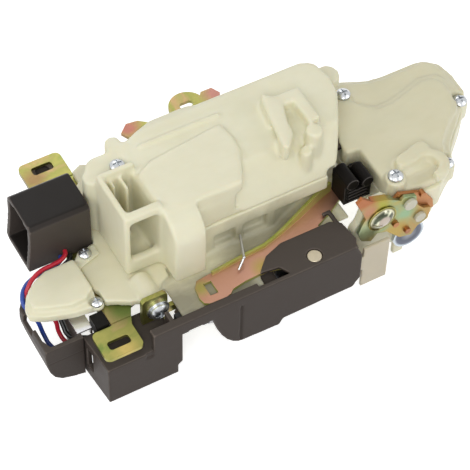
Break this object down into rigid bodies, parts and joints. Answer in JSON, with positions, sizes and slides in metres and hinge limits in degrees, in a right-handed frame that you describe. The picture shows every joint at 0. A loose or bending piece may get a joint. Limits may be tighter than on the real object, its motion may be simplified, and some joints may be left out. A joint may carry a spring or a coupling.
{
  "type": "vehicle door lock",
  "caption": "Vehicle door lock with striker mouth, fork and pawl, motor driven locking gear, release and key levers, connector and short wires.",
  "frame": {"origin": "on the top face of the front tab, on the seat of the screw head 5.2 mm behind the centre of the fixing slot", "axes": "+X along the lock towards the lever housing, +Y back from the latch face, +Z out of the actuator side"},
  "size_m": [0.2074, 0.1076, 0.0677],
  "materials": {
    "black_plastic": "dark warm grey moulded plastic, fine grain",
    "yellow_zinc": "yellow passivated zinc plate with green and pink iridescence",
    "steel": "ground steel",
    "bright_zinc": "bright zinc plated steel",
    "spring_steel": "drawn spring wire",
    "rubber": "soft black rubber",
    "cream_nylon": "cream nylon with a soft sheen",
    "white_nylon": "white nylon",
    "beige_plastic": "beige plastic",
    "brass": "copper coloured plated metal",
    "chrome": "polished chrome",
    "blue_wire": "blue insulation",
    "red_wire": "red insulation",
    "black_wire": "black insulation"
  },
  "bodies": {
    "lock_frame": {"latch_cover": "black_plastic", "wire_channel": "black_plastic", "latch_plate": "yellow_zinc", "fork_pin": "bright_zinc", "fork_spring": "spring_steel", "pawl_pin": "bright_zinc", "pawl_spring": "spring_steel", "mouth_buffer": "rubber", "door_switch": "black_plastic", "carrier_bracket": "yellow_zinc", "flange_screw": "bright_zinc", "actuator_base": "cream_nylon", "actuator_shell": "cream_nylon", "housing_screws": "bright_zinc", "motor_can": "steel", "wheel_axle": "bright_zinc", "position_switches": "black_plastic", "lead_frame": "brass", "wire_cover": "cream_nylon", "connector_housing": "black_plastic", "connector_terminals": "brass", "nut_plate": "black_plastic", "wire_blue": "blue_wire", "wire_red": "red_wire", "wire_black": "black_wire", "release_pin": "bright_zinc", "release_spring": "spring_steel", "lever_housing": "cream_nylon", "lever_lid": "cream_nylon", "lock_lever_pin": "bright_zinc", "key_rivet": "chrome", "outer_lever_pin": "bright_zinc", "guide_tab": "beige_plastic", "contact_strip": "bright_zinc", "terminal_block": "black_plastic", "drive_disc": "bright_zinc"},
    "fork_body": {"fork": "steel", "fork_sleeve": "black_plastic"},
    "pawl_body": {"pawl": "steel"},
    "release_body": {"release_lever": "yellow_zinc", "rod_clip": "black_plastic"},
    "wheel_body": {"worm_wheel": "cream_nylon"},
    "worm_body": {"motor_worm": "brass"},
    "slider_body": {"lock_slider": "black_plastic"},
    "lock_lever_body": {"lock_lever": "yellow_zinc"},
    "key_body": {"key_lever": "yellow_zinc", "key_link": "yellow_zinc", "link_rivets": "brass", "key_bushings": "white_nylon"},
    "handle_body": {"outer_lever": "yellow_zinc"}
  },
  "joints": [
    {"name": "fork_turn", "type": "hinge", "parent": "lock_frame", "child": "fork_body", "pos_m": [0.0447, -0.00305, -0.008], "axis": [0, -1, 0], "range_deg": [0, 50]},
    {"name": "release_lever_pull", "type": "hinge", "parent": "lock_frame", "child": "release_body", "pos_m": [0.084, -0.0076, 0.0015], "axis": [0, 0, -1], "range_deg": [-3, 0], "stiffness_Nm_per_rad": 0.3},
    {"name": "pawl_turn", "type": "hinge", "parent": "lock_frame", "child": "pawl_body", "pos_m": [0.0707, -0.00305, -0.0095], "axis": [0, -1, 0], "range_deg": [-8, 0]},
    {"name": "worm_wheel_turn", "type": "hinge", "parent": "lock_frame", "child": "wheel_body", "pos_m": [0.0777, 0.0321, 0.0185], "axis": [0, 0, 1], "range_deg": [-68, 68]},
    {"name": "worm_spin", "type": "hinge", "parent": "lock_frame", "child": "worm_body", "pos_m": [0.0717, 0.0478, 0.019], "axis": [1, 0, 0], "range_deg": [-1650, 1650]},
    {"name": "lock_slider_travel", "type": "slide", "parent": "lock_frame", "child": "slider_body", "axis": [1, 0, 0], "range_m": [-0.006, 0.006]},
    {"name": "lock_lever_turn", "type": "hinge", "parent": "lock_frame", "child": "lock_lever_body", "pos_m": [0.1397, 0.0181, -0.0025], "axis": [0, 0, 1], "range_deg": [-26, 26]},
    {"name": "key_lever_turn", "type": "hinge", "parent": "lock_frame", "child": "key_body", "pos_m": [0.1157, -0.0052, 0.0065], "axis": [0, -1, 0], "range_deg": [-8, 25]},
    {"name": "handle_lever_turn", "type": "hinge", "parent": "lock_frame", "child": "handle_body", "pos_m": [0.0757, 0.0538, -0.0015], "axis": [0, 0, 1], "range_deg": [-12, 12]}
  ],
  "couplings": [
    {"joint": "pawl_turn", "follows": "release_lever_pull", "ratio": 2.6},
    {"joint": "worm_spin", "follows": "worm_wheel_turn", "ratio": 24},
    {"joint": "lock_slider_travel", "follows": "worm_wheel_turn", "m_per_rad": 0.005},
    {"joint": "lock_lever_turn", "follows": "worm_wheel_turn", "ratio": -0.37}
  ]
}
